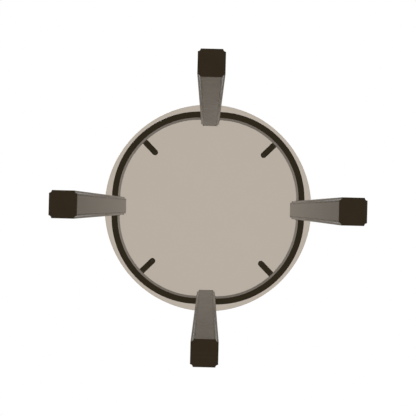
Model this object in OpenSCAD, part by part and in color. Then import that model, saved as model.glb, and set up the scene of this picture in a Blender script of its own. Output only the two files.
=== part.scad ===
// Round table on four square legs.
// A round laminated board lies on a rolled apron ring and on the upper ends of four hollow
// legs. The ring is four quarter circles of rectangular tube. Each runs from the middle of one
// leg's side to the middle of the next leg's side and is welded to both, so that the ring
// swells a little between the legs.
// Four round-ended tabs on the ring's inner wall take the screws that hold the board down.
// Every leg is an extrusion with a cove along each corner and a fine groove on both sides of
// it, and stands on a push-in foot cap.
// Frame: origin on the floor under the middle of the top, +Z up, millimetres.

/* [Table] */
// Height of the top surface above the floor
table_h = 750; // [650:5:1100]
// Diameter of the round top
top_d = 700; // [600:10:1000]
// Distance from the edge of the top in to the outer face of a leg
leg_inset = 12; // [4:1:40]

/* [Top board] */
// Thickness of the finished board
top_t = 18; // [16:1:30]
// Thickness of the laminate sheet on each face of the board
laminate_t = 0.8; // [0.5:0.1:1.2]
// Thickness of the band round the edge of the board
band_t = 2; // [1:0.5:3]
// Radius on the upper and lower edge of the band
band_round = 0.8; // [0.3:0.1:0.9]

/* [Legs] */
// Width of the square leg
leg_w = 60; // [52:1:80]
// Wall thickness of the leg extrusion
leg_wall = 2.5; // [1.5:0.1:4]
// Radius of the cove along each corner of the leg
cove_r = 6; // [3:0.5:8]
// Distance from the edge of a cove to the middle of the groove beside it
groove_inset = 3; // [2:0.5:4]
// Width of that groove at the surface of the leg
groove_w = 2; // [1:0.2:3]
// Depth of the groove
groove_d = 1; // [0.5:0.1:1.2]

/* [Apron ring] */
// Width of the apron tube along the radius
apron_w = 20; // [14:1:24]
// Height of the apron tube
apron_h = 50; // [30:1:90]
// Wall thickness of the apron tube
apron_wall = 2; // [1.2:0.1:3]
// Radius of the four outside corners of the apron tube
apron_corner = 1; // [0.8:0.1:3]
// Leg length of the fillet welds between the tubes, the legs and the tabs
weld_leg = 3; // [1.5:0.5:4]

/* [Fixing tabs] */
// Width of the flat bar that a tab is cut from
tab_w = 20; // [16:1:30]
// Thickness of that bar
tab_t = 4; // [3:0.5:6]
// Distance from the ring's inner wall to the screw hole
tab_reach = 50.5; // [25:0.5:70]

/* [Screws and inserts] */
// Thread diameter of the screws that hold the board
screw_d = 6; // [4:1:7]
// Length of those screws under the head
screw_l = 14; // [9:1:15]
// Diameter of the screw head
head_d = 10.5; // [9:0.5:14]
// Height of the domed screw head
head_h = 3.3; // [2.5:0.1:4.5]
// Height of the straight rim of the head
head_rim = 0.6; // [0.3:0.1:1]
// Width across the flats of the hexagon socket
socket_w = 4; // [2.5:0.5:5]
// Depth of the hexagon socket
socket_depth = 2; // [1:0.1:2.2]
// How much wider than the screw the hole in a tab is
tab_hole_play = 0.6; // [0.2:0.1:1.5]
// Outer diameter of the threaded inserts in the board
insert_d = 10; // [9:0.5:14]
// Length of an insert
insert_l = 12; // [8:1:13]
// Number of barbs round an insert
barb_count = 4; // [2:1:6]
// Height that a barb stands out from the insert's body
barb_h = 0.5; // [0.2:0.1:0.7]

/* [Foot caps and end plugs] */
// Thickness of the tread that a leg stands on
tread_t = 3; // [2:0.5:8]
// Chamfer along the four sides of the tread
tread_chamfer = 0.5; // [0.3:0.1:1.2]
// Depth of a plug inside the leg
plug_l = 26; // [18:1:45]
// Wall thickness of a plug
plug_wall = 2; // [1.2:0.1:3]
// Distance that the grip fins stand out from the plug
fin_h = 2.2; // [1:0.1:3]
// Thickness of a grip fin at its root
fin_t = 2; // [1:0.1:2.5]
// Number of grip fins along a plug
fin_count = 4; // [2:1:5]
// Thickness of the crossed webs inside a plug
web_t = 1.6; // [1:0.1:3]
// Thickness of the plate that closes the upper end of a leg
lid_t = 2.5; // [1.5:0.5:5]

/* [Clearances] */
// Gap between a plug's fins and the wall of the leg
plug_gap = 0.1; // [0.05:0.05:0.4]
// Gap between the thread of a screw and its insert
thread_gap = 0.05; // [0.02:0.01:0.1]
// Gap between an insert's barbs and the bore in the board
insert_gap = 0.05; // [0.02:0.01:0.2]
// Free depth above an insert in its blind bore
bore_relief = 1; // [0.5:0.1:1.5]

/* [Hidden] */
$fn = 120;
FRAME_COAT = [0.19, 0.16, 0.12];
TOP_LAMINATE = [0.72, 0.68, 0.63];
BOARD = [0.72, 0.58, 0.40];
NYLON = [0.15, 0.13, 0.10];
BLACK_STEEL = [0.12, 0.11, 0.10];
BRASS = [0.72, 0.58, 0.28];

side_names = ["right", "back", "left", "front"];
quarter_names = ["back_right", "back_left", "front_left", "front_right"];
quarters = [0 : 3];

under_z = table_h - top_t;                           // underside of the board, where the frame ends
core_r = top_d / 2 - band_t;
leg_out_r = top_d / 2 - leg_inset;                   // outer face of a leg
leg_r = leg_out_r - leg_w / 2;                       // centre line of a leg
leg_l = under_z - tread_t;
rail_c = leg_w / 2;                                  // X and Y of a quarter ring's own centre
rail_r = leg_r - rail_c;                             // centre line of its tube, which ends square on the legs
rail_in_r = rail_r - apron_w / 2;
rail_out_r = rail_r + apron_w / 2;
ring_z = under_z - apron_h;                          // lower side of the apron ring
tab_c = rail_c * sqrt(2);                            // a quarter ring's centre, seen along its tab
tab_r = tab_c + rail_in_r - tab_reach;               // circle of the tab screws
tab_z = under_z - tab_t;
bore_d = insert_d + 2 * insert_gap;
plug_inset = leg_wall + plug_gap + fin_h;            // from the leg's outline in to the plug's wall
fin_pitch = plug_l / (fin_count + 0.5);
over = 1;                                            // how far a cutting shape runs past what it cuts

// ---------- Places that several pieces share ----------

// Upright of a leg, with its middle on the Z axis of the children
module at_leg(i) {
    rotate(90 * i) translate([leg_r, 0, 0]) children();
}

// The four screw positions, each with its X axis along the tab
module at_tab(i) {
    rotate(45 + 90 * i) children();
}

module at_each_screw(z) {
    for (i = quarters) at_tab(i) translate([tab_r, 0, z]) children();
}

// ---------- Outlines ----------

// Leg outline, drawn in by inset: a square with a cove swung round each of its corners
module coved_square(inset = 0) {
    difference() {
        square(leg_w - 2 * inset, center = true);
        for (x = [-1, 1], y = [-1, 1])
            translate([x, y] * leg_w / 2) circle(r = cove_r + inset);
    }
}

module rounded_rectangle(w, h, r) {
    square([w - 2 * r, h], center = true);
    square([w, h - 2 * r], center = true);
    for (x = [-1, 1], y = [-1, 1])
        translate([x * (w / 2 - r), y * (h / 2 - r)]) circle(r = r);
}

// Leg outline with a fine V groove beside each cove, on all four faces
module leg_outline() {
    groove_at = leg_w / 2 - cove_r - groove_inset;
    difference() {
        coved_square();
        for (turn = quarters, side = [-1, 1])
            rotate(90 * turn) translate([leg_w / 2, side * groove_at])
                polygon([[0, -groove_w / 2], [0, groove_w / 2], [-groove_d, 0]]);
    }
}

// Section of the apron tube at its place beside the Z axis, drawn in by inset
module apron_section(inset = 0) {
    translate([rail_r, ring_z + apron_h / 2])
        rounded_rectangle(apron_w - 2 * inset, apron_h - 2 * inset, max(apron_corner - inset, 0.5));
}

// ---------- Board ----------

module board_disc(z, t) {
    translate([0, 0, z]) cylinder(r = core_r, h = t);
}

// The blind bores for the inserts, open at the underside
module insert_bores() {
    at_each_screw(under_z - over) cylinder(d = bore_d, h = over + insert_l + bore_relief);
}

module top_core() {
    color(BOARD) difference() {
        board_disc(under_z + laminate_t, top_t - 2 * laminate_t);
        insert_bores();
    }
}

module top_laminate() {
    color(TOP_LAMINATE) board_disc(table_h - laminate_t, laminate_t);
}

module underside_laminate() {
    color(TOP_LAMINATE) difference() {
        board_disc(under_z, laminate_t);
        insert_bores();
    }
}

module edge_band() {
    color(TOP_LAMINATE) rotate_extrude() {
        translate([core_r, under_z]) square([band_t - band_round, top_t]);
        translate([core_r, under_z + band_round]) square([band_t, top_t - 2 * band_round]);
        for (z = [under_z + band_round, table_h - band_round])
            translate([core_r + band_t - band_round, z]) circle(r = band_round);
    }
}

// ---------- Fasteners ----------

// Barbed insert with its mouth at z = 0, pressed in upwards
module insert() {
    barb_pitch = insert_l / barb_count;
    difference() {
        union() {
            cylinder(d = insert_d - 2 * barb_h, h = insert_l);
            for (i = [0 : barb_count - 1])
                translate([0, 0, i * barb_pitch])
                    cylinder(d1 = insert_d, d2 = insert_d - 2 * barb_h, h = barb_pitch);
        }
        translate([0, 0, -over]) cylinder(d = screw_d + 2 * thread_gap, h = insert_l + 2 * over);
    }
}

module threaded_inserts() {
    color(BRASS) at_each_screw(under_z) insert();
}

// Button head screw, shank up from z = 0, with its dome below
module screw() {
    dome_h = head_h - head_rim;
    dome_r = (pow(head_d / 2, 2) + pow(dome_h, 2)) / (2 * dome_h);
    cylinder(d = screw_d, h = screw_l);
    difference() {
        rotate_extrude() intersection() {
            translate([0, dome_r - head_h]) circle(r = dome_r);
            translate([0, -head_h]) square([head_d / 2, head_h]);
        }
        translate([0, 0, -head_h - over])
            cylinder(d = socket_w / cos(30), h = over + socket_depth, $fn = 6);
    }
}

module tab_screws() {
    color(BLACK_STEEL) at_each_screw(tab_z) screw();
}

// ---------- Legs ----------

module leg(i) {
    color(FRAME_COAT) at_leg(i) translate([0, 0, tread_t]) linear_extrude(leg_l) difference() {
        leg_outline();
        coved_square(leg_wall);
    }
}

// Square slab from z = 0 to t, whose four lower edges are cut back by c along and by rise up
module chamfered_slab(w, t, c, rise) {
    profile = [[c - w / 2, 0], [w / 2 - c, 0], [w / 2, rise], [w / 2, t], [-w / 2, t], [-w / 2, rise]];
    intersection_for (turn = [0, 90])
        rotate([90, 0, turn]) linear_extrude(w, center = true) polygon(profile);
}

// Plug from z = 0 up to plug_l: a hollow box with crossed webs, and fins that taper upwards
module plug() {
    fin_inset = leg_wall + plug_gap;
    fin_w = leg_w - 2 * fin_inset;
    linear_extrude(plug_l) {
        difference() {
            coved_square(plug_inset);
            coved_square(plug_inset + plug_wall);
        }
        intersection() {
            coved_square(plug_inset + plug_wall / 2);
            union() {
                square([leg_w, web_t], center = true);
                square([web_t, leg_w], center = true);
            }
        }
    }
    for (i = [1 : fin_count])
        translate([0, 0, i * fin_pitch]) difference() {
            intersection() {
                linear_extrude(fin_t) coved_square(fin_inset);
                translate([0, 0, fin_t]) mirror([0, 0, 1]) chamfered_slab(fin_w, fin_t, fin_h / 2, fin_t / 2);
            }
            translate([0, 0, -over]) linear_extrude(fin_t + 2 * over) coved_square(plug_inset + plug_wall / 2);
        }
}

module foot_cap(i) {
    color(NYLON) at_leg(i) {
        intersection() {
            linear_extrude(tread_t) coved_square();
            chamfered_slab(leg_w, tread_t, tread_chamfer, tread_chamfer);
        }
        translate([0, 0, tread_t]) plug();
    }
}

// The same plug turned over under a lid that lies flush with the end of the leg
module leg_top_plug(i) {
    color(NYLON) at_leg(i) translate([0, 0, under_z]) mirror([0, 0, 1]) {
        linear_extrude(lid_t) coved_square(leg_wall + plug_gap);
        translate([0, 0, lid_t]) plug();
    }
}

// ---------- Apron ring ----------

// Middle of a quarter ring, where the planes of two legs' sides cross, as the Z axis of the children
module at_quarter(i) {
    rotate(90 * i) translate([rail_c, rail_c, 0]) children();
}

// Quarter circle of tube, whose ends stand square on the flat sides of two legs
module apron_arc(i) {
    color(FRAME_COAT) at_quarter(i) rotate_extrude(angle = 90) difference() {
        apron_section();
        apron_section(apron_wall);
    }
}

// How far along a leg's side the circle of radius r is, at a distance d from that side
function along(r, d) = sqrt(r * r - d * d);

// Fillet round the end of a tube, on the side of the right leg that faces +Y:
// one wedge thins away from the leg's side in plan, the other under the tube
module arc_weld() {
    plan = [
        [rail_in_r - weld_leg, 0], [rail_out_r + weld_leg, 0],
        [along(rail_out_r, weld_leg), weld_leg], [along(rail_in_r, weld_leg), weld_leg]
    ];
    end_view = [
        [0, ring_z - weld_leg], [weld_leg, ring_z], [weld_leg, under_z], [0, under_z]
    ];
    difference() {
        intersection() {
            translate([0, 0, ring_z - weld_leg - over]) linear_extrude(apron_h + weld_leg + over) polygon(plan);
            translate([rail_in_r - leg_w / 2, 0, 0]) rotate([90, 0, 90]) linear_extrude(leg_w + apron_w) polygon(end_view);
        }
        rotate_extrude() apron_section();
    }
}

module apron_welds() {
    color(FRAME_COAT) for (i = quarters, flip = [0, 1])
        rotate(90 * i) mirror([0, flip, 0]) translate([rail_c, rail_c, 0]) arc_weld();
}

// ---------- Fixing tabs ----------

// Flat bar with a full round end at the screw, and its root cut to the ring's inner wall
module fixing_tab(i) {
    color(FRAME_COAT) at_tab(i) translate([0, 0, tab_z]) linear_extrude(tab_t) difference() {
        intersection() {
            translate([tab_c, 0]) circle(r = rail_in_r);
            union() {
                translate([tab_r, 0]) circle(d = tab_w);
                translate([tab_r, -tab_w / 2]) square([tab_reach + over, tab_w]);
            }
        }
        translate([tab_r, 0]) circle(d = screw_d + tab_hole_play);
    }
}

// Fillet along the root of a tab, under the bar
module tab_weld() {
    corner = [rail_in_r, tab_z];
    translate([tab_c, 0, 0]) intersection() {
        rotate_extrude() polygon([corner, corner - [weld_leg, 0], corner - [0, weld_leg]]);
        translate([0, -tab_w / 2, tab_z - weld_leg - over]) cube([rail_out_r, tab_w, weld_leg + 2 * over]);
    }
}

module tab_welds() {
    color(FRAME_COAT) for (i = quarters) at_tab(i) tab_weld();
}

// ---------- Assembly ----------

top_core();
top_laminate();
underside_laminate();
edge_band();
threaded_inserts();
tab_screws();
for (i = quarters) {
    leg(i);
    foot_cap(i);
    leg_top_plug(i);
    apron_arc(i);
    fixing_tab(i);
}
apron_welds();
tab_welds();
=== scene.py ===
import math

import bmesh
import bpy
import numpy as np
from mathutils import Matrix, Vector


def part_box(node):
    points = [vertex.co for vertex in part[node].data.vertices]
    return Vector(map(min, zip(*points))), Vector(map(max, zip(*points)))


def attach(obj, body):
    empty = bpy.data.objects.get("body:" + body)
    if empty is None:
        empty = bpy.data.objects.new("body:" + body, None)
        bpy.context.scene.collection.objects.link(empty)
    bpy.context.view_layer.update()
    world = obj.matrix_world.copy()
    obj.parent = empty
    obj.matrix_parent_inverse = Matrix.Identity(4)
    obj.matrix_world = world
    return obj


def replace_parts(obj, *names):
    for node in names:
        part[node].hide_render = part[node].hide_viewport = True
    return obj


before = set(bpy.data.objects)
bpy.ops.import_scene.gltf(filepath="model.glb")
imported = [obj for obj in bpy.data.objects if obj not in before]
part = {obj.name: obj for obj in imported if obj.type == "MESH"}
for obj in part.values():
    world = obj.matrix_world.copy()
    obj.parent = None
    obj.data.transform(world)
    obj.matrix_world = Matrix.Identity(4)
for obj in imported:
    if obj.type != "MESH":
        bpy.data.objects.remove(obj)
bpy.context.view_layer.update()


# ---------------------------------------------------------------------------------------------
# Board. A pressed board between two sheets of satin taupe laminate, 18 mm thick in all, with a
# band of the same taupe ironed round its edge. It lies on the ring and on the legs' upper ends.
# ---------------------------------------------------------------------------------------------

def srgb(red, green, blue):
    """An 8-bit screen colour as linear light, with alpha.

    Its share of 255 is divided by 12.92 where it is small. Elsewhere 0.055 is added to it, the sum is divided
    by 1.055 and raised to the power of 2.4."""
    share = np.array([red, green, blue]) / 255
    linear = np.where(share <= 0.04045, share / 12.92, ((share + 0.055) / 1.055) ** 2.4)
    return (*linear.tolist(), 1.0)


def feed(tree, socket, value):
    """Links a socket to the socket that feeds it, or gives it a plain value."""
    if isinstance(value, bpy.types.NodeSocket):
        tree.links.new(value, socket)
    else:
        socket.default_value = value


def add_node(tree, kind, inputs=None, **settings):
    """One shader node; inputs maps a socket's name or number to a value or to the socket that feeds it."""
    node = tree.nodes.new("ShaderNode" + kind)
    for name, value in settings.items():
        setattr(node, name, value)
    for socket, value in (inputs or {}).items():
        feed(tree, node.inputs[socket], value)
    return node


def calc(tree, operation, *values):
    """The result of one arithmetic node on values, each a number or a socket."""
    return add_node(tree, "Math", dict(enumerate(values)), operation=operation).outputs[0]


def noise(tree, place, scale, detail, roughness=0.5):
    """A cloudy value from 0 to 1: scale clouds to the metre, with detail finer layers of falling strength."""
    return add_node(tree, "TexNoise", {
        "Vector": place, "Scale": scale, "Detail": detail, "Roughness": roughness}).outputs["Fac"]


def ramp(tree, value, start, end, low=0.0, high=1.0, shape="LINEAR"):
    """low until value reaches start, high once it is past end, and a ramp of the given shape between."""
    return add_node(tree, "MapRange", {
        "Value": value, "From Min": start, "From Max": end, "To Min": low, "To Max": high},
        interpolation_type=shape).outputs["Result"]


def tint(tree, share, under, over):
    """The colour under, with a share of the colour over laid on it."""
    return add_node(tree, "Mix", {"Factor": share, 6: under, 7: over}, data_type="RGBA").outputs[2]


def new_group(name, takes, gives):
    """An effect that several finishes share: its tree, the sockets its values come from, and those it fills.

    takes and gives map each socket's name to its kind."""
    group = bpy.data.node_groups.new(name, "ShaderNodeTree")
    for socket, kind in takes.items():
        group.interface.new_socket(name=socket, in_out="INPUT", socket_type="NodeSocket" + kind)
    for socket, kind in gives.items():
        group.interface.new_socket(name=socket, in_out="OUTPUT", socket_type="NodeSocket" + kind)
    source = group.nodes.new("NodeGroupInput")
    return group, source.outputs, group.nodes.new("NodeGroupOutput").inputs


def place_group(tree, group, **inputs):
    """The outputs of a group placed in a material, fed with its values; spaces in names are underscores."""
    node = tree.nodes.new("ShaderNodeGroup")
    node.node_tree = group
    for name, value in inputs.items():
        feed(tree, node.inputs[name.replace("_", " ")], value)
    return node.outputs


def new_finish(name):
    """An empty node material, its tree, and the Object coordinates that its patterns are read at."""
    finish = bpy.data.materials.new(name)
    finish.use_nodes = True
    tree = finish.node_tree
    tree.nodes.clear()
    return finish, tree, add_node(tree, "TexCoord").outputs["Object"]


def surface(tree, colour, roughness, height, relief, normal=None, **plain):
    """Principled surface with a relief: height, about 0 to 1, times relief in metres.

    plain holds what is the same all over, set on the shader's own sockets; spaces are underscores."""
    bump = add_node(tree, "Bump", {"Height": height, "Strength": 1.0, "Distance": relief})
    if normal:
        tree.links.new(normal, bump.inputs["Normal"])
    shader = add_node(tree, "BsdfPrincipled", {
        "Base Color": colour, "Roughness": roughness, "Normal": bump.outputs["Normal"]})
    for name, value in plain.items():
        shader.inputs[name.replace("_", " ")].default_value = value
    add_node(tree, "OutputMaterial", {"Surface": shader.outputs["BSDF"]})


def wear_finish(finish, *node_names):
    """Puts one finish on carried-over nodes."""
    for name in node_names:
        part[name].data.materials.clear()
        part[name].data.materials.append(finish)


def make_mottle():
    """Slow clouds and fine flecks in a colour; the clouds alone are the tone, which sways the roughness.

    The colour is scaled by 1 plus each noise's distance from one half times its own sway."""
    group, takes, gives = new_group(
        "mottle",
        {"Vector": "Vector", "Colour": "Color", "Cloud Scale": "Float", "Fleck Scale": "Float",
         "Cloud Sway": "Float", "Fleck Sway": "Float"},
        {"Colour": "Color", "Tone": "Float"})
    cloud = noise(group, takes["Vector"], takes["Cloud Scale"], detail=4.0, roughness=0.55)
    fleck = noise(group, takes["Vector"], takes["Fleck Scale"], detail=2.0, roughness=0.6)
    cloud_sway = calc(group, "MULTIPLY", calc(group, "SUBTRACT", cloud, 0.5), takes["Cloud Sway"])
    fleck_sway = calc(group, "MULTIPLY", calc(group, "SUBTRACT", fleck, 0.5), takes["Fleck Sway"])
    gain = calc(group, "ADD", calc(group, "ADD", cloud_sway, fleck_sway), 1.0)
    swayed = add_node(group, "VectorMath", {0: takes["Colour"], "Scale": gain}, operation="SCALE")
    group.links.new(swayed.outputs[0], gives["Colour"])
    group.links.new(cloud, gives["Tone"])
    return group


def make_fine_relief():
    """Height of a moulded or sprayed skin: soft pebbles, with a share of finer ones added."""
    group, takes, gives = new_group(
        "fine_relief", {"Vector": "Vector", "Scale": "Float"}, {"Height": "Float"})
    times_finer, fine_share = 3.7, 0.35
    coarse = noise(group, takes["Vector"], takes["Scale"], detail=1.0)
    fine_scale = calc(group, "MULTIPLY", takes["Scale"], times_finer)
    fine = noise(group, takes["Vector"], fine_scale, detail=1.0)
    group.links.new(calc(group, "MULTIPLY_ADD", fine, fine_share, coarse), gives["Height"])
    return group


def make_streaks():
    """Long faint streaks of wear: a noise drawn out 30 to 1 along the X axis, with only its peaks kept.

    The turn comes after the drawing out. It gives each finish streaks of its own, and doesn't slant them."""
    group, takes, gives = new_group(
        "streaks", {"Vector": "Vector", "Scale": "Float", "Turn": "Vector"}, {"Mask": "Float"})
    drawn_out = (1.0, 30.0, 30.0)
    squeezed = add_node(group, "Mapping", {
        "Vector": takes["Vector"], "Rotation": takes["Turn"], "Scale": drawn_out}).outputs[0]
    drawn_noise = noise(group, squeezed, takes["Scale"], detail=2.0)
    group.links.new(ramp(group, drawn_noise, start=0.64, end=0.72), gives["Mask"])
    return group


mottle = make_mottle()
fine_relief = make_fine_relief()
streaks = make_streaks()
taupe = srgb(184, 174, 162)


def laminate(name, mark_rough, cloud_sway, fleck_sway):
    """Satin taupe laminate: faint clouds and flecks in the print, a pearl-grain skin and streaks from wiping.

    Its roughness is satin_rough, plus tone_rough times the print's tone, plus mark_rough on a streak."""
    finish, tree, place = new_finish(name)
    satin_rough, tone_rough, grain_relief = 0.45, 0.10, 0.00002
    printed = place_group(
        tree, mottle, Vector=place, Colour=taupe, Cloud_Scale=14.0, Fleck_Scale=900.0,
        Cloud_Sway=cloud_sway, Fleck_Sway=fleck_sway)
    skin = place_group(tree, fine_relief, Vector=place, Scale=650.0)
    marks = place_group(tree, streaks, Vector=place, Scale=2.2, Turn=(0.0, 0.0, 0.6))
    base = calc(tree, "MULTIPLY_ADD", printed["Tone"], tone_rough, satin_rough)
    rough = calc(tree, "MULTIPLY_ADD", marks["Mask"], mark_rough, base)
    surface(tree, printed["Colour"], rough, skin["Height"], grain_relief, Specular_IOR_Level=0.35)
    return finish


def edge_band_finish():
    """Taupe band: the laminate's colour on smooth plastic, with a butt joint where its two ends meet.

    The joint stands butt_turn from the X axis, clockwise from above. It is whole within joint_half of its
    line and gone at joint_reach. It is darker than the band, and sunk by twice the skin's relief."""
    finish, tree, place = new_finish("taupe_edge_band")
    smooth_rough, tone_rough, skin_relief = 0.32, 0.12, 0.00003
    butt_turn, joint_half, joint_reach, joint_height = math.radians(70), 0.0001, 0.0004, -2.0
    joint_colour = srgb(96, 86, 74)
    printed = place_group(
        tree, mottle, Vector=place, Colour=taupe, Cloud_Scale=25.0, Fleck_Scale=700.0,
        Cloud_Sway=0.03, Fleck_Sway=0.05)
    skin = place_group(tree, fine_relief, Vector=place, Scale=420.0)
    swung = add_node(tree, "Mapping", {"Vector": place, "Rotation": (0.0, 0.0, butt_turn)}).outputs[0]
    from_joint = add_node(tree, "SeparateXYZ", {"Vector": swung}).outputs
    near = ramp(tree, calc(tree, "ABSOLUTE", from_joint["Y"]), joint_half, joint_reach, 1.0, 0.0)
    joint = calc(tree, "MULTIPLY", near, calc(tree, "GREATER_THAN", from_joint["X"], 0.0))
    colour = tint(tree, joint, printed["Colour"], joint_colour)
    height = calc(tree, "MULTIPLY_ADD", joint, joint_height, skin["Height"])
    rough = calc(tree, "MULTIPLY_ADD", printed["Tone"], tone_rough, smooth_rough)
    surface(tree, colour, rough, height, skin_relief)
    return finish


def pressed_board():
    """Edge-on fibres of pressed board: pale brown, dry, with flakes flattened along the board's plane."""
    finish, tree, place = new_finish("pressed_board")
    dry_rough, tone_rough, fibre_relief, flattened = 0.8, 0.1, 0.0001, (1.0, 1.0, 5.0)
    flat = add_node(tree, "Mapping", {"Vector": place, "Scale": flattened}).outputs[0]
    fibres = place_group(
        tree, mottle, Vector=flat, Colour=srgb(186, 150, 104), Cloud_Scale=160.0, Fleck_Scale=900.0,
        Cloud_Sway=0.5, Fleck_Sway=0.35)
    skin = place_group(tree, fine_relief, Vector=flat, Scale=500.0)
    rough = calc(tree, "MULTIPLY_ADD", fibres["Tone"], tone_rough, dry_rough)
    surface(tree, fibres["Colour"], rough, skin["Height"], fibre_relief)
    return finish


upper = laminate("taupe_laminate_upper", mark_rough=0.12, cloud_sway=0.09, fleck_sway=0.22)
lower = laminate("taupe_laminate_lower", mark_rough=0.02, cloud_sway=0.02, fleck_sway=0.10)
wear_finish(upper, "top_laminate")
wear_finish(lower, "underside_laminate")
wear_finish(edge_band_finish(), "edge_band")
wear_finish(pressed_board(), "top_core")


# ---------------------------------------------------------------------------------------------
# Legs, apron ring and fixing tabs. Aluminium extrusion, rolled tube and flat bar, welded into one
# frame and sprayed together with a satin brown-black powder coat, which lies slightly rippled.
# ---------------------------------------------------------------------------------------------

def make_edge_rub():
    """Where hands and cloths rub a corner bright, and the normals of a corner softened over a width.

    A corner is where the softened normal leaves the face's own. The rub starts where their dot product falls
    to 0.995 and is whole at 0.80. A noise keeps it to patches."""
    group, takes, gives = new_group(
        "edge_rub", {"Vector": "Vector", "Width": "Float"}, {"Mask": "Float", "Soft Normal": "Vector"})
    soft = add_node(group, "Bevel", {"Radius": takes["Width"]}, samples=4).outputs["Normal"]
    flat = add_node(group, "NewGeometry").outputs["Normal"]
    agree = add_node(group, "VectorMath", {0: soft, 1: flat}, operation="DOT_PRODUCT").outputs["Value"]
    corner = ramp(group, agree, start=0.995, end=0.80)
    patches = ramp(group, noise(group, takes["Vector"], scale=60.0, detail=4.0), start=0.42, end=0.62)
    group.links.new(calc(group, "MULTIPLY", corner, patches), gives["Mask"])
    group.links.new(soft, gives["Soft Normal"])
    return group


edge_rub = make_edge_rub()


def powder_coat(name, side_rough, front_rough):
    """Satin powder coat: a dark film with orange peel, drifts of gloss, faint streaks and lighter corners.

    Its roughness goes from side_rough on faces square to the X axis to front_rough on those square to the Y
    axis, by the square of the normal's Y part. The film's tone sways it by drift to either side, and a streak
    adds mark_rough. A rubbed corner takes on a share of rubbed_colour."""
    finish, tree, place = new_finish(name)
    drift, mark_rough, rub_share, peel_relief = 0.06, 0.03, 0.5, 0.00005
    rubbed_colour = srgb(92, 82, 68)
    film = place_group(
        tree, mottle, Vector=place, Colour=srgb(46, 40, 29), Cloud_Scale=22.0, Fleck_Scale=1400.0,
        Cloud_Sway=0.16, Fleck_Sway=0.20)
    peel = place_group(tree, fine_relief, Vector=place, Scale=340.0)
    rub = place_group(tree, edge_rub, Vector=place, Width=0.0008)
    marks = place_group(tree, streaks, Vector=place, Scale=3.0, Turn=(0.3, 1.2, 0.4))
    colour = tint(tree, calc(tree, "MULTIPLY", rub["Mask"], rub_share), film["Colour"], rubbed_colour)
    normal = add_node(tree, "NewGeometry").outputs["Normal"]
    y_part = add_node(tree, "SeparateXYZ", {"Vector": normal}).outputs["Y"]
    frontal = calc(tree, "MULTIPLY", y_part, y_part)
    glossiest = ramp(tree, frontal, 0.0, 1.0, side_rough - drift, front_rough - drift)
    drifting = calc(tree, "MULTIPLY_ADD", film["Tone"], 2 * drift, glossiest)
    rough = calc(tree, "MULTIPLY_ADD", marks["Mask"], mark_rough, drifting)
    surface(tree, colour, rough, peel["Height"], peel_relief, normal=rub["Soft Normal"], IOR=1.45)
    return finish


sides = ("right", "back", "left", "front")
quarters = ("back_right", "back_left", "front_left", "front_right")
frame_coat = powder_coat("brown_black_powder_coat", side_rough=0.13, front_rough=0.25)
for side in sides:
    wear_finish(frame_coat, "leg_" + side)
for quarter in quarters:
    wear_finish(frame_coat, "apron_arc_" + quarter, "fixing_tab_" + quarter)

# The tabs, their beads and their screws cast no reflection or shadow, which would spot the ring's even wall.
for quarter in quarters:
    tab = part["fixing_tab_" + quarter]
    tab.visible_glossy = tab.visible_shadow = False


# ---------------------------------------------------------------------------------------------
# Welds. A bead laid round the end of every apron tube against its leg, and one under the root of
# every tab, with the small overlapping ripples that the torch leaves, coated with the frame.
# ---------------------------------------------------------------------------------------------

under_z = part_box("underside_laminate")[0].z
ring_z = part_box("apron_arc_back_right")[0].z
tab_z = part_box("fixing_tab_back_right")[0].z
leg_half = (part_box("leg_right")[1].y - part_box("leg_right")[0].y) / 2
quarter_centre = np.array([leg_half, leg_half, 0])
tube_width, tube_corner, tab_width = 0.020, 0.001, 0.020
ring_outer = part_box("apron_arc_back_right")[1].x - leg_half
ring_inner = ring_outer - tube_width
bead_leg = ring_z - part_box("apron_welds")[0].z


def tube_end_outline(step=0.00025, corner_points=10):
    """The apron tube's outline where it meets a leg: down its inner wall, under it and up its outer wall.

    Both lower corners are quarter rounds. Gives evenly spaced rows of (radius, height, outward radius part,
    outward height part), and the run along the line. Radii are from the centre of the tube's own bend."""
    turn = np.linspace(0, np.pi / 2, num=corner_points)
    across, down = tube_corner * np.cos(turn), tube_corner * np.sin(turn)
    low_z = ring_z + tube_corner
    inner_x = ring_inner + tube_corner
    outer_x = ring_outer - tube_corner
    line = np.concatenate([
        [[ring_inner, under_z, -1, 0]],
        np.stack([inner_x - across, low_z - down, -np.cos(turn), -np.sin(turn)], 1),
        np.stack([outer_x + down, low_z - across, np.sin(turn), -np.cos(turn)], 1),
        [[ring_outer, under_z, 1, 0]],
    ])
    run = np.concatenate([[0], np.cumsum(np.hypot(*np.diff(line[:, :2], axis=0).T))])
    places = np.linspace(0, run[-1], int(run[-1] / step))
    return np.stack([np.interp(places, run, line[:, k]) for k in range(4)], 1), places


def bead_section(places, pitch=0.0022, toe_lead=0.0009, swell=0.14, early=0.7, belly=1.25, sunk=0.0003):
    """The bead across its line at every place along it: how far out along one wall, and along the other.

    A fillet that reaches along the walls by its leg times a cosine and a sine, both to the power of belly.
    Over each pitch the leg grows by a share of swell and falls again, by the root of a sine whose phase is
    raised to the power of early. The toes lead the middle by toe_lead, and the root is sunk in the walls."""
    turn = np.linspace(0, np.pi / 2, num=9)
    lead = toe_lead * (1 - np.sin(2 * turn))
    phase = np.mod((places[:, None] + lead) / pitch, 1.0)
    size = bead_leg * (1 - swell + swell * np.sqrt(np.abs(np.sin(np.pi * phase ** early))))
    wall = np.full((len(places), 1), -sunk)
    first = np.concatenate([wall, size[:, :1], size * np.cos(turn) ** belly, wall], 1)
    second = np.concatenate([wall, wall, size * np.sin(turn) ** belly, size[:, -1:]], 1)
    return first, second


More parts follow.
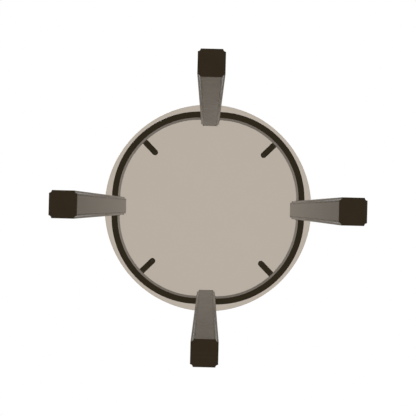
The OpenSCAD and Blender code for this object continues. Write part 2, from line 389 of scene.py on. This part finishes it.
def tube_end_bead():
    """Grid of the bead on the back side of the right leg, one row for each point of the tube's outline.

    A point stands off the tube in the outline's outward direction, and off the leg along Y. Its X is the root
    of its radius squared less that Y squared, so the bead bends with the tube's quarter circle."""
    outline, run = tube_end_outline()
    off_tube, off_leg = bead_section(run)
    radius = outline[:, :1] + off_tube * outline[:, 2:3]
    height = outline[:, 1:2] + off_tube * outline[:, 3:4]
    return quarter_centre + np.stack([np.sqrt(radius ** 2 - off_leg ** 2), off_leg, height], -1)


def tab_root_bead(step=0.0002):
    """Grid of the bead under a tab that points along X, as long as the tab is wide.

    It follows an arc round the quarter circle's middle, down from the tab and inwards from the ring."""
    half_root = math.asin(tab_width / 2 / ring_inner)
    run = np.arange(0, tab_width, step)
    swing = (-half_root + 2 * half_root * run / run[-1])[:, None]
    off_tab, off_ring = bead_section(run)
    radius = ring_inner - off_ring
    along_tab = np.hypot(*quarter_centre[:2]) + radius * np.cos(swing)
    return np.stack([along_tab, radius * np.sin(swing), tab_z - off_tab], -1)


def turned(grid, angle, flip=False):
    """The same points turned about the table's axis, after a flip across the XZ plane where asked."""
    cos, sin = math.cos(angle), math.sin(angle)
    side = -1 if flip else 1
    return grid @ np.array([[cos, sin, 0], [-sin * side, cos * side, 0], [0, 0, 1]])


def ring_quads(rows, columns):
    """Quads between rows of numbered points, each row a closed ring: two points of a row, two of the next."""
    row, column = np.mgrid[0:rows - 1, 0:columns]
    following = (column + 1) % columns
    return np.stack([row * columns + column, row * columns + following,
                     (row + 1) * columns + following, (row + 1) * columns + column], -1).reshape(-1, 4)


def add_beads(name, grids):
    """One piece of coated beads, each a grid of rows x columns x 3, closed round its rows and at its ends."""
    points, faces, first = [], [], 0
    for grid in grids:
        rows, columns = grid.shape[:2]
        points.append(grid.reshape(-1, 3))
        faces += (ring_quads(rows, columns) + first).tolist()
        faces += [list(range(first, first + columns)),
                  list(range(first + (rows - 1) * columns, first + rows * columns))]
        first += rows * columns
    mesh = bpy.data.meshes.new(name)
    mesh.from_pydata(np.concatenate(points).tolist(), [], faces)
    shell = bmesh.new()
    shell.from_mesh(mesh)
    bmesh.ops.recalc_face_normals(shell, faces=shell.faces)
    shell.to_mesh(mesh)
    shell.free()
    mesh.shade_smooth()
    mesh.set_sharp_from_angle(angle=math.radians(50))
    mesh.materials.append(frame_coat)
    piece = bpy.data.objects.new(name, mesh)
    bpy.context.scene.collection.objects.link(piece)
    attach(piece, "root")
    return piece


tube_bead = tube_end_bead()
beads = [turned(tube_bead, math.radians(90 * i), flip) for i in range(4) for flip in (False, True)]
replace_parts(add_beads("apron_weld_beads", beads), "apron_welds")

root_bead = tab_root_bead()
tab_beads = add_beads("tab_weld_beads", [turned(root_bead, math.radians(45 + 90 * i)) for i in range(4)])
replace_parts(tab_beads, "tab_welds")
tab_beads.visible_glossy = tab_beads.visible_shadow = False


# ---------------------------------------------------------------------------------------------
# Foot caps and top plugs. Push-in mouldings of dark nylon: a tread as wide as the leg below, a lid
# flush with the leg's end above, each on a finned plug that grips the inside of the extrusion.
# ---------------------------------------------------------------------------------------------

def nylon():
    """Moulded nylon: dull dark plastic with an even spark grain, faint flow clouds and scuffs from the floor.

    The scuffs are streaks that start to fade at scuff_low above the floor and are gone at scuff_high."""
    finish, tree, place = new_finish("dark_nylon")
    scuff_share, scuff_low, scuff_high, grain_relief = 0.03, 0.0002, 0.0012, 0.00002
    scuff_colour = srgb(104, 97, 86)
    melt = place_group(
        tree, mottle, Vector=place, Colour=srgb(46, 38, 27), Cloud_Scale=40.0, Fleck_Scale=1600.0,
        Cloud_Sway=0.14, Fleck_Sway=0.16)
    grain = place_group(tree, fine_relief, Vector=place, Scale=900.0)
    scuffs = place_group(tree, streaks, Vector=place, Scale=6.0, Turn=(0.0, 0.0, 0.9))
    height = add_node(tree, "SeparateXYZ", {"Vector": place}).outputs["Z"]
    low = ramp(tree, height, scuff_low, scuff_high, scuff_share, 0.0)
    colour = tint(tree, calc(tree, "MULTIPLY", scuffs["Mask"], low), melt["Colour"], scuff_colour)
    rough = ramp(tree, melt["Tone"], 0.0, 1.0, low=0.40, high=0.50)
    surface(tree, colour, rough, grain["Height"], grain_relief, Specular_IOR_Level=0.3)
    return finish


dark_nylon = nylon()
for side in sides:
    wear_finish(dark_nylon, "foot_cap_" + side, "leg_top_plug_" + side)


# ---------------------------------------------------------------------------------------------
# Screws and inserts. A blackened button head screw holds each tab to the board. It turns into a
# barbed brass insert, pressed into a blind bore drilled through the lower laminate into the core.
# ---------------------------------------------------------------------------------------------

def turned_metal(name, colour, middle_rough, metal, shine):
    """Lathe-turned metal: fine rings round each screw's axis and a little mottling of its surface.

    The rings are the sine of the distance from the axis times radians_per_metre. The axis is the middle of a
    tab's round end, and absolute coordinates fold the four screws onto one. The tone sways the roughness."""
    finish, tree, place = new_finish(name)
    ring_relief, radians_per_metre, sway = 0.000004, 22000.0, 0.08
    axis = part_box("fixing_tab_back_right")[0].x + tab_width / 2
    skin = place_group(
        tree, mottle, Vector=place, Colour=colour, Cloud_Scale=120.0, Fleck_Scale=2500.0,
        Cloud_Sway=0.2, Fleck_Sway=0.2)
    folded = add_node(tree, "VectorMath", {0: place}, operation="ABSOLUTE").outputs[0]
    from_axis = add_node(tree, "VectorMath", {0: folded, 1: (axis, axis, 0.0)}, operation="SUBTRACT")
    flat = add_node(tree, "VectorMath", {0: from_axis.outputs[0], 1: (1.0, 1.0, 0.0)}, operation="MULTIPLY")
    distance = add_node(tree, "VectorMath", {0: flat.outputs[0]}, operation="LENGTH").outputs["Value"]
    rings = calc(tree, "SINE", calc(tree, "MULTIPLY", distance, radians_per_metre))
    rough = ramp(tree, skin["Tone"], 0.0, 1.0, middle_rough - sway, middle_rough + sway)
    surface(tree, skin["Colour"], rough, rings, ring_relief, Metallic=metal, Specular_IOR_Level=shine)
    return finish


steel = turned_metal("blackened_steel", srgb(47, 41, 31), middle_rough=0.42, metal=0.0, shine=0.2)
brass = turned_metal("brass", srgb(196, 160, 92), middle_rough=0.32, metal=1.0, shine=0.5)
wear_finish(steel, "tab_screws")
wear_finish(brass, "threaded_inserts")
part["tab_screws"].visible_glossy = part["tab_screws"].visible_shadow = False


# ---------------------------------------------------------------------------------------------
# Floor. A plain pale floor that runs out to white. It is seen only from above and takes the
# table's shadow; from below it is clear, and it throws no shadow itself.
# ---------------------------------------------------------------------------------------------

def floor_disc(reach=9.0, rings=24, spokes=96, gap=0.0006):
    """A flat disc, gap below the feet: rings of points whose radius grows by the square of their number."""
    radius = reach * (np.arange(1, rings + 1) / rings) ** 2
    angle = np.arange(spokes) * 2 * np.pi / spokes
    points = np.stack([radius[:, None] * np.cos(angle), radius[:, None] * np.sin(angle),
                       np.full((rings, spokes), -gap)], -1).reshape(-1, 3)
    points = np.concatenate([points, [[0, 0, -gap]]])
    facing_up = ring_quads(rings, spokes)[:, [0, 3, 2, 1]]
    middle = [[len(points) - 1, k, (k + 1) % spokes] for k in range(spokes)]
    mesh = bpy.data.meshes.new("floor")
    mesh.from_pydata(points.tolist(), [], facing_up.tolist() + middle)
    return mesh


def floor_finish():
    """Matt floor that is clear from below, with a share of plain white over it.

    It is white_share as far as pale_reach from the middle, and grows smoothly to one at white_reach."""
    finish, tree, place = new_finish("pale_floor")
    pale, white_share, pale_reach, white_reach = (0.93, 0.93, 0.93, 1.0), 0.3, 0.4, 1.8
    matt = add_node(tree, "BsdfDiffuse", {"Color": pale}).outputs[0]
    white = add_node(tree, "Emission", {"Color": (1.0, 1.0, 1.0, 1.0), "Strength": 1.0}).outputs[0]
    clear = add_node(tree, "BsdfTransparent").outputs[0]
    distance = add_node(tree, "VectorMath", {0: place}, operation="LENGTH").outputs["Value"]
    share = ramp(tree, distance, pale_reach, white_reach, white_share, 1.0, shape="SMOOTHSTEP")
    from_above = add_node(tree, "MixShader", {0: share, 1: matt, 2: white}).outputs[0]
    from_below = add_node(tree, "NewGeometry").outputs["Backfacing"]
    either = add_node(tree, "MixShader", {0: from_below, 1: from_above, 2: clear}).outputs[0]
    add_node(tree, "OutputMaterial", {"Surface": either})
    return finish


floor = bpy.data.objects.new("floor", floor_disc())
floor.data.materials.append(floor_finish())
floor.visible_diffuse = floor.visible_glossy = floor.visible_shadow = False
bpy.context.scene.collection.objects.link(floor)


# ---------------------------------------------------------------------------------------------
# Light. A narrow, even glow straight up from under the table, as through a glass floor, and three
# large soft lamps above and round it. Only the key lamp shows in reflections.
# ---------------------------------------------------------------------------------------------

def add_lamp(name, kind, place, energy, size):
    """A white lamp that faces the middle of the table: a square of size metres, or a sun of size radians."""
    lamp = bpy.data.lights.new(name, kind)
    lamp.energy = energy
    if kind == "AREA":
        lamp.size = size
    else:
        lamp.angle = size
    holder = bpy.data.objects.new(name, lamp)
    aim = Vector((0, 0, 0.5))
    away = Vector(place) - aim
    holder.matrix_world = Matrix.Translation(place) @ away.to_track_quat("Z", "Y").to_matrix().to_4x4()
    bpy.context.scene.collection.objects.link(holder)
    return holder


def studio_world():
    """Plain white to the camera and through clear things, and a faint even light on the object.

    Reflections see the white too. It goes out as they point further down, from a height part of -0.45 to one
    of -0.80, as if into a dark floor."""
    world = bpy.data.worlds.new("studio")
    world.use_nodes = True
    tree = world.node_tree
    tree.nodes.clear()
    faint = 0.03
    rays = add_node(tree, "LightPath").outputs
    heading = add_node(tree, "TexCoord").outputs["Generated"]
    height_part = add_node(tree, "SeparateXYZ", {"Vector": heading}).outputs["Z"]
    not_down = ramp(tree, height_part, start=-0.80, end=-0.45, shape="SMOOTHSTEP")
    reflected = calc(tree, "MULTIPLY", rays["Is Glossy Ray"], not_down)
    direct = calc(tree, "MAXIMUM", rays["Is Camera Ray"], rays["Is Transmission Ray"])
    ambient = calc(tree, "MULTIPLY", rays["Is Diffuse Ray"], faint)
    strength = calc(tree, "MAXIMUM", calc(tree, "MAXIMUM", direct, reflected), ambient)
    white = add_node(tree, "Background", {"Color": (1.0, 1.0, 1.0, 1.0), "Strength": strength}).outputs[0]
    add_node(tree, "OutputWorld", {"Surface": white})
    return world


glow = add_lamp("glow_from_below", "SUN", (0, 0, -3), energy=3.13, size=math.radians(0.2))
add_lamp("key_lamp", "AREA", (-1.7, -2.0, 3.6), energy=72, size=1.8)
fill = add_lamp("fill_lamp", "AREA", (2.7, -1.5, 2.1), energy=83, size=1.8)
back = add_lamp("back_lamp", "AREA", (-0.6, 3.0, 2.5), energy=85, size=1.8)
glow.visible_glossy = fill.visible_glossy = back.visible_glossy = False
bpy.context.scene.world = studio_world()


# ---------------------------------------------------------------------------------------------
# Camera. A 50 mm lens on the table's axis, under the floor and looking straight up, with the
# front leg at the top of the view but for a small roll.
# ---------------------------------------------------------------------------------------------

eye_to_board = 1.9568
roll = math.radians(-1.45)
lens = bpy.data.cameras.new("camera")
lens.lens, lens.sensor_width, lens.sensor_fit = 50.0, 36.0, "HORIZONTAL"
camera = bpy.data.objects.new("camera", lens)
camera.matrix_world = (Matrix.Translation((0, 0, under_z - eye_to_board))
                       @ Matrix.Rotation(roll, 4, "Z") @ Matrix.Rotation(math.pi, 4, "X"))
bpy.context.scene.collection.objects.link(camera)
bpy.context.scene.camera = camera
bpy.context.scene.view_settings.view_transform = "Standard"
